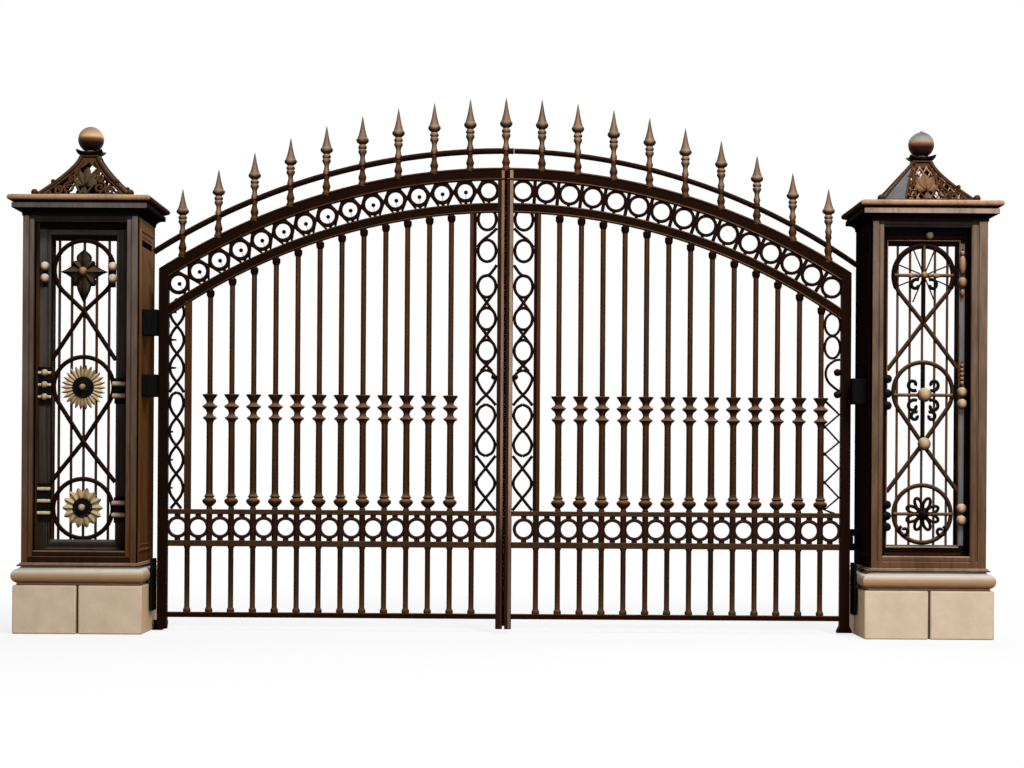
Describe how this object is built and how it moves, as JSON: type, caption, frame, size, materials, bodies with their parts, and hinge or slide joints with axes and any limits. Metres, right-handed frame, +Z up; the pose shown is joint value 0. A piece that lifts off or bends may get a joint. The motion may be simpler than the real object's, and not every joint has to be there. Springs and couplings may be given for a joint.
{
  "type": "double-leaf wrought iron driveway gate",
  "caption": "Arched double-leaf driveway gate of bronzed wrought iron with spears, ring bands and scroll panels, hung between openwork iron pillars on stone plinths; both leaves swing open.",
  "frame": {"origin": "on the ground, midway between the two pillars and in the middle of their depth", "axes": "+X along the gate towards the right pillar seen from the front, +Y back through the gate, +Z up"},
  "size_m": [4.906, 0.706, 2.707],
  "materials": {
    "stone": "honed warm beige stone with a rounded coping",
    "bronze_iron": "bronzed wrought iron, satin, with copper-brown highlights",
    "dark_iron": "dark bronze wrought iron, satin, near black in shade",
    "gold_trim": "antique gold and copper paint on iron castings",
    "black_iron": "black painted steel, satin"
  },
  "bodies": {
    "pillars": {"left_plinth": "stone", "right_plinth": "stone", "left_plinth_coping": "stone", "right_plinth_coping": "stone", "left_base_plate": "bronze_iron", "right_base_plate": "bronze_iron", "left_front_frame": "bronze_iron", "right_front_frame": "bronze_iron", "left_back_frame": "bronze_iron", "right_back_frame": "bronze_iron", "left_back_bars": "bronze_iron", "right_back_bars": "bronze_iron", "left_side_walls": "bronze_iron", "right_side_walls": "bronze_iron", "left_cornice": "bronze_iron", "right_cornice": "bronze_iron", "left_pagoda_roof": "dark_iron", "right_pagoda_roof": "dark_iron", "left_ball_finial": "bronze_iron", "right_ball_finial": "bronze_iron", "left_grille": "bronze_iron", "right_grille": "bronze_iron", "left_grille_ornaments": "gold_trim", "right_grille_ornaments": "gold_trim", "left_hinge_brackets": "black_iron", "right_hinge_brackets": "black_iron"},
    "left_leaf": {"left_hinge_stile": "dark_iron", "left_meeting_stile": "bronze_iron", "left_inner_stiles": "bronze_iron", "left_arch_rails": "bronze_iron", "left_arch_rings": "dark_iron", "left_spear_rail": "dark_iron", "left_spears": "bronze_iron", "left_pickets": "bronze_iron", "left_cross_rails": "dark_iron", "left_ring_band": "dark_iron", "left_lower_bars": "bronze_iron", "left_scroll_panels": "dark_iron", "left_hinge_knuckles": "black_iron"},
    "right_leaf": {"right_hinge_stile": "dark_iron", "right_meeting_stile": "bronze_iron", "right_inner_stiles": "bronze_iron", "right_arch_rails": "bronze_iron", "right_arch_rings": "dark_iron", "right_spear_rail": "dark_iron", "right_spears": "bronze_iron", "right_pickets": "bronze_iron", "right_cross_rails": "dark_iron", "right_ring_band": "dark_iron", "right_lower_bars": "bronze_iron", "right_scroll_panels": "dark_iron", "right_hinge_knuckles": "black_iron"}
  },
  "joints": [
    {"name": "left_leaf_swing", "type": "hinge", "parent": "pillars", "child": "left_leaf", "pos_m": [-1.76, 0.06, 1], "axis": [0, 0, 1], "range_deg": [0, 90]},
    {"name": "right_leaf_swing", "type": "hinge", "parent": "pillars", "child": "right_leaf", "pos_m": [1.76, 0.06, 1], "axis": [0, 0, -1], "range_deg": [0, 90]}
  ]
}
